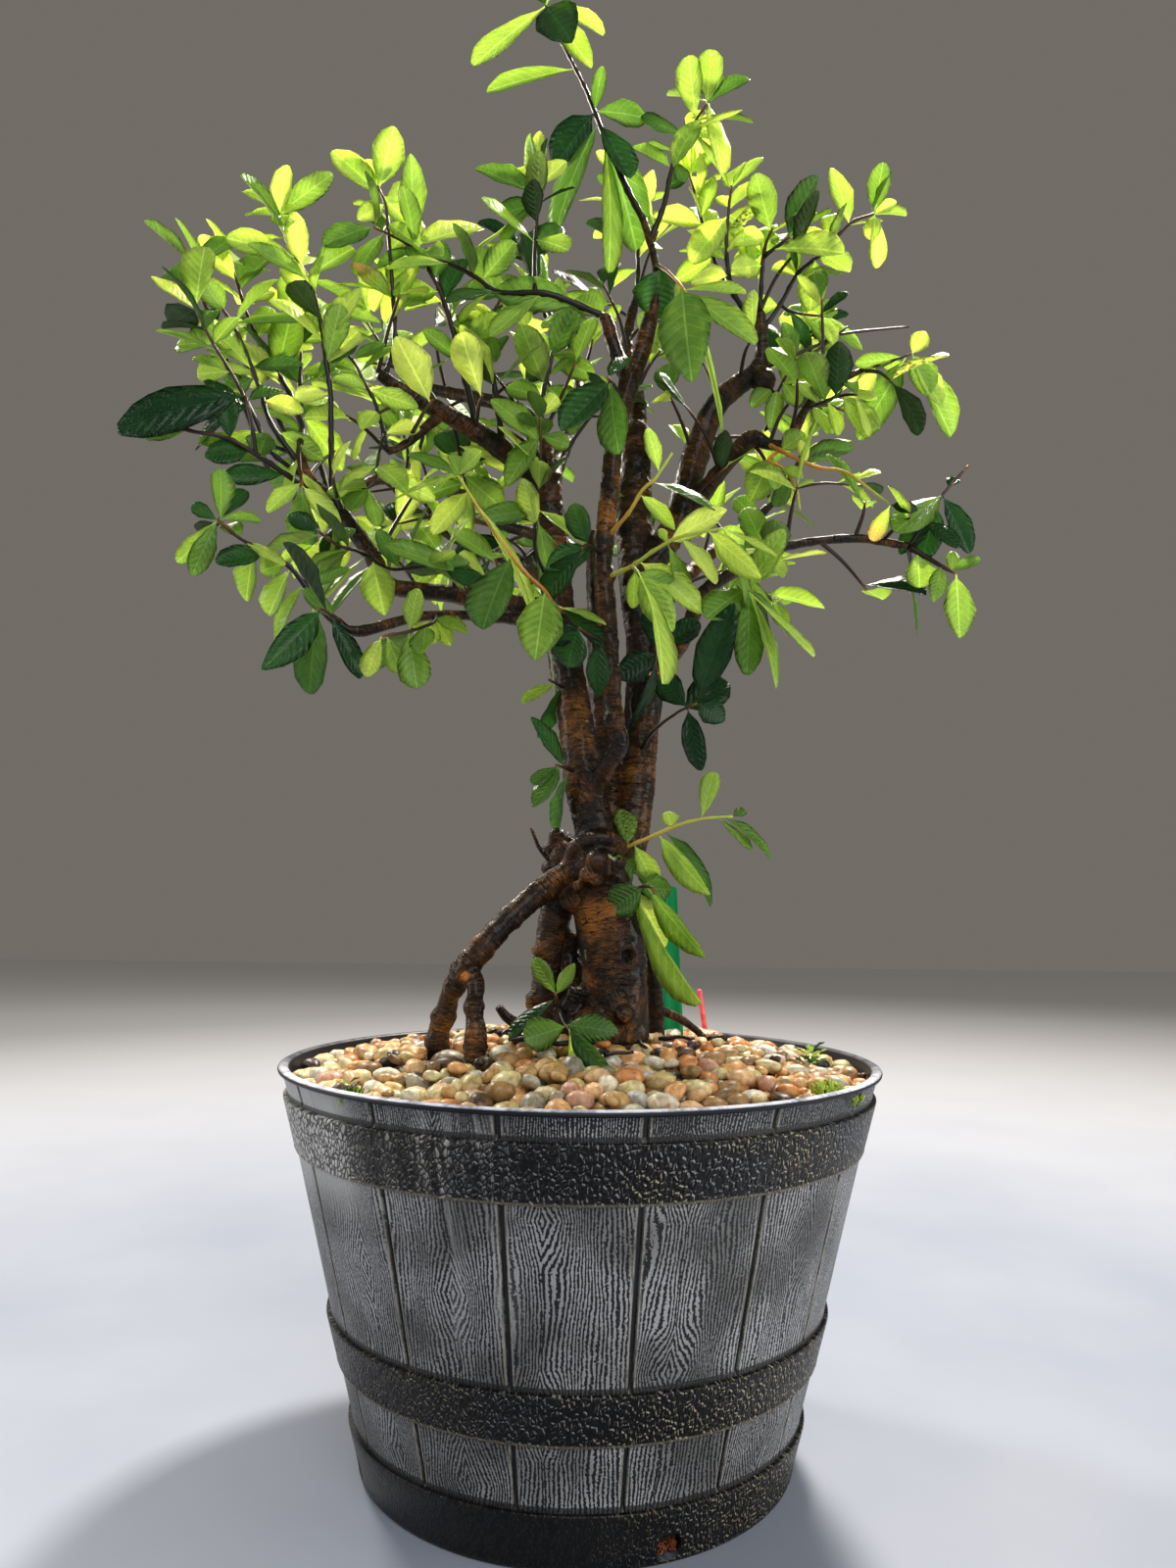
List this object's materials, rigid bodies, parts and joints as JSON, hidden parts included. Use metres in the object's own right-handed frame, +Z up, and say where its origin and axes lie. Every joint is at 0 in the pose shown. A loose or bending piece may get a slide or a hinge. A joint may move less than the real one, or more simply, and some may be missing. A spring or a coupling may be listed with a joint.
{
  "type": "flowering quince bonsai in a barrel pot",
  "caption": "Flowering quince grown as a bonsai on exposed, arching roots, with upright limbs and leafy shoots, in a moulded half-barrel pot dressed with pebbles.",
  "frame": {"origin": "on the table under the middle of the pot's base", "axes": "+Z up along the pot's axis, -Y towards the pictured front, +X to the right in the front view"},
  "size_m": [0.5278, 0.3979, 1.0356],
  "materials": {
    "pot_plastic": "black moulded plastic with rubbed wood grain between hammered hoops",
    "soil": "damp bark-based potting soil",
    "pebbles": "polished river pebbles, tan, cream, peach, grey and brown",
    "bark": "wet dark brown bark with lighter patches",
    "foliage": "green glossy leaves on thin brown twigs",
    "label_plastic": "translucent green plastic",
    "stick_plastic": "red plastic"
  },
  "bodies": {
    "root": {"back_crown": "foliage", "back_left": "foliage", "back_low": "foliage", "back_right": "foliage", "back_top": "foliage", "barrel_pot": "pot_plastic", "burl_sprout": "foliage", "centre_front": "foliage", "centre_mid": "foliage", "centre_slim": "foliage", "crown_high": "foliage", "crown_right": "foliage", "crown_tip": "foliage", "far_left": "foliage", "front_olive": "foliage", "left_behind": "foliage", "left_bright": "foliage", "left_broad": "foliage", "left_edge": "foliage", "left_fall": "foliage", "left_front_shoot": "foliage", "left_inner": "foliage", "left_lead": "foliage", "left_level": "foliage", "left_mid": "foliage", "left_olive": "foliage", "left_outer": "foliage", "left_rear": "foliage", "left_tall": "foliage", "left_twig_up": "foliage", "low_left_hang": "foliage", "low_left_pair": "foliage", "low_right_end": "foliage", "low_right_front": "foliage", "low_right_tip": "foliage", "marker_stick": "stick_plastic", "mid_dark": "foliage", "mid_olive": "foliage", "orange_shoot": "foliage", "orange_spur": "foliage", "pebble_dressing": "pebbles", "plant_label": "label_plastic", "potting_soil": "soil", "rear_right_up": "foliage", "right_cluster": "foliage", "right_high": "foliage", "right_inner": "foliage", "right_long": "foliage", "right_side": "foliage", "right_tip": "foliage", "root_sprout": "foliage", "small_left": "foliage", "small_low": "foliage", "stub_sprout": "foliage", "top_left": "foliage", "trunk": "bark", "trunk_sprout": "foliage", "yellow_leaf": "foliage", "yellow_shoot": "foliage"}
  },
  "joints": []
}
